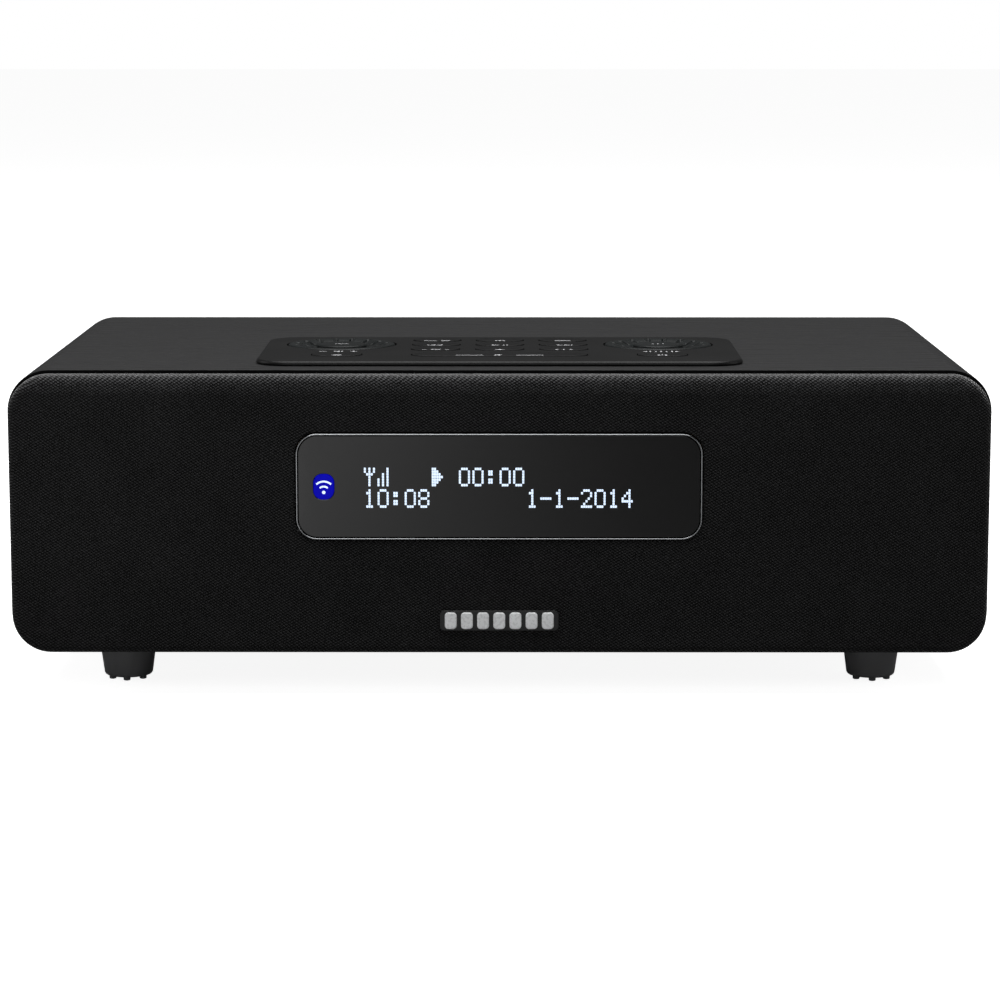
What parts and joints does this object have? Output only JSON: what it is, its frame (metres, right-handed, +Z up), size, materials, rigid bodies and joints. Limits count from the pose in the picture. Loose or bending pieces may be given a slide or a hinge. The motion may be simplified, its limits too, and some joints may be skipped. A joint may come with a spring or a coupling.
{
  "type": "tabletop radio",
  "caption": "Wide low tabletop radio: black wood cabinet, proud fabric grille with glossy display, top panel with dials and keys, rear telescopic antenna.",
  "frame": {"origin": "on the table under the middle of the radio's box, between the badge's face and the antenna's rearmost point", "axes": "+X to the listener's right, +Y to the rear (the grille faces -Y), +Z up"},
  "size_m": [0.35, 0.2178, 0.1191],
  "materials": {
    "veneer": "black-stained open-pore wood veneer, satin lacquer",
    "board": "raw fibreboard",
    "grille_fabric": "black twill speaker cloth",
    "frame_plastic": "moulded black, matte",
    "window": "dark glossy acrylic",
    "chrome": "polished chrome plate",
    "indicator": "lit blue lens",
    "circuit": "green circuit board",
    "speaker_steel": "pressed steel, dull",
    "cone_paper": "black paper cone with a rubber surround",
    "panel_plastic": "fine-textured moulded black",
    "key_plastic": "satin moulded black with printed symbols",
    "rubber": "matte moulded rubber",
    "rear_plastic": "textured moulded black",
    "jack_plastic": "moulded black, satin",
    "screw_steel": "black-zinc steel",
    "antenna_steel": "bright nickel-plated steel",
    "lead": "black insulated wire",
    "flat_cable": "grey flat cable"
  },
  "bodies": {
    "cabinet": {"cabinet_shell": "veneer", "foot_front_left": "rubber", "foot_front_right": "rubber", "foot_rear_left": "rubber", "foot_rear_right": "rubber", "front_baffle": "board", "grille_frame": "frame_plastic", "grille_cloth": "grille_fabric", "display_bezel": "chrome", "display_window": "window", "indicator_lens": "indicator", "display_module": "circuit", "badge_plate": "chrome", "left_speaker_basket": "speaker_steel", "left_speaker_cone": "cone_paper", "left_speaker_magnet": "speaker_steel", "right_speaker_basket": "speaker_steel", "right_speaker_cone": "cone_paper", "right_speaker_magnet": "speaker_steel", "control_panel": "panel_plastic", "control_board": "circuit", "volume_encoder": "jack_plastic", "tuning_encoder": "jack_plastic", "main_board": "circuit", "left_speaker_lead": "lead", "right_speaker_lead": "lead", "display_ribbon": "flat_cable", "control_ribbon": "flat_cable", "rear_panel": "rear_plastic", "jack_plate": "jack_plastic", "headphone_socket": "jack_plastic", "line_in_socket": "jack_plastic", "power_inlet": "jack_plastic", "rear_screw_1": "screw_steel", "rear_screw_2": "screw_steel", "rear_screw_3": "screw_steel", "rear_screw_4": "screw_steel", "antenna_base": "jack_plastic"},
    "volume_dial": {"volume_dial": "key_plastic"},
    "tuning_dial": {"tuning_dial": "key_plastic"},
    "mute_button": {"mute_button": "key_plastic"},
    "select_button": {"select_button": "key_plastic"},
    "source_key": {"source_key": "key_plastic"},
    "info_key": {"info_key": "key_plastic"},
    "menu_key": {"menu_key": "key_plastic"},
    "previous_key": {"previous_key": "key_plastic"},
    "play_key": {"play_key": "key_plastic"},
    "next_key": {"next_key": "key_plastic"},
    "alarm_key": {"alarm_key": "key_plastic"},
    "preset_key": {"preset_key": "key_plastic"},
    "equaliser_key": {"equaliser_key": "key_plastic"},
    "snooze_bar": {"snooze_bar": "key_plastic"},
    "dimmer_key": {"dimmer_key": "key_plastic"},
    "power_key": {"power_key": "key_plastic"},
    "antenna_swivel": {"antenna_swivel": "antenna_steel"},
    "antenna_section_1": {"antenna_section_1": "chrome"},
    "antenna_section_2": {"antenna_section_2": "chrome"},
    "antenna_section_3": {"antenna_section_3": "chrome"},
    "antenna_section_4": {"antenna_section_4": "chrome"}
  },
  "joints": [
    {"name": "volume_dial_turn", "type": "hinge", "parent": "cabinet", "child": "volume_dial", "pos_m": [-0.0595, -0.028, 0.117], "axis": [0, 0, 1], "continuous": true},
    {"name": "tuning_dial_turn", "type": "hinge", "parent": "cabinet", "child": "tuning_dial", "pos_m": [0.0595, -0.028, 0.117], "axis": [0, 0, 1], "continuous": true},
    {"name": "mute_button_press", "type": "slide", "parent": "cabinet", "child": "mute_button", "axis": [0, 0, -1], "range_m": [0, 0.001], "stiffness_N_per_m": 300},
    {"name": "select_button_press", "type": "slide", "parent": "cabinet", "child": "select_button", "axis": [0, 0, -1], "range_m": [0, 0.001], "stiffness_N_per_m": 300},
    {"name": "source_key_press", "type": "slide", "parent": "cabinet", "child": "source_key", "axis": [0, 0, -1], "range_m": [0, 0.0008], "stiffness_N_per_m": 300},
    {"name": "info_key_press", "type": "slide", "parent": "cabinet", "child": "info_key", "axis": [0, 0, -1], "range_m": [0, 0.0008], "stiffness_N_per_m": 300},
    {"name": "menu_key_press", "type": "slide", "parent": "cabinet", "child": "menu_key", "axis": [0, 0, -1], "range_m": [0, 0.0008], "stiffness_N_per_m": 300},
    {"name": "previous_key_press", "type": "slide", "parent": "cabinet", "child": "previous_key", "axis": [0, 0, -1], "range_m": [0, 0.0008], "stiffness_N_per_m": 300},
    {"name": "play_key_press", "type": "slide", "parent": "cabinet", "child": "play_key", "axis": [0, 0, -1], "range_m": [0, 0.0008], "stiffness_N_per_m": 300},
    {"name": "next_key_press", "type": "slide", "parent": "cabinet", "child": "next_key", "axis": [0, 0, -1], "range_m": [0, 0.0008], "stiffness_N_per_m": 300},
    {"name": "alarm_key_press", "type": "slide", "parent": "cabinet", "child": "alarm_key", "axis": [0, 0, -1], "range_m": [0, 0.0008], "stiffness_N_per_m": 300},
    {"name": "preset_key_press", "type": "slide", "parent": "cabinet", "child": "preset_key", "axis": [0, 0, -1], "range_m": [0, 0.0008], "stiffness_N_per_m": 300},
    {"name": "equaliser_key_press", "type": "slide", "parent": "cabinet", "child": "equaliser_key", "axis": [0, 0, -1], "range_m": [0, 0.0008], "stiffness_N_per_m": 300},
    {"name": "snooze_bar_press", "type": "slide", "parent": "cabinet", "child": "snooze_bar", "axis": [0, 0, -1], "range_m": [0, 0.0008], "stiffness_N_per_m": 300},
    {"name": "dimmer_key_press", "type": "slide", "parent": "cabinet", "child": "dimmer_key", "axis": [0, 0, -1], "range_m": [0, 0.0008], "stiffness_N_per_m": 300},
    {"name": "power_key_press", "type": "slide", "parent": "cabinet", "child": "power_key", "axis": [0, 0, -1], "range_m": [0, 0.0008], "stiffness_N_per_m": 300},
    {"name": "antenna_swivel_turn", "type": "hinge", "parent": "cabinet", "child": "antenna_swivel", "pos_m": [0.132, 0.0984, 0.096], "axis": [0, 1, 0], "range_deg": [0, 180]},
    {"name": "antenna_fold", "type": "hinge", "parent": "antenna_swivel", "child": "antenna_section_1", "pos_m": [0.132, 0.1054, 0.096], "axis": [0, 0, -1], "range_deg": [0, 90]},
    {"name": "antenna_section_2_pull", "type": "slide", "parent": "antenna_section_1", "child": "antenna_section_2", "axis": [-1, 0, 0], "range_m": [0, 0.15]},
    {"name": "antenna_section_3_pull", "type": "slide", "parent": "antenna_section_2", "child": "antenna_section_3", "axis": [-1, 0, 0], "range_m": [0, 0.15]},
    {"name": "antenna_section_4_pull", "type": "slide", "parent": "antenna_section_3", "child": "antenna_section_4", "axis": [-1, 0, 0], "range_m": [0, 0.15]}
  ]
}
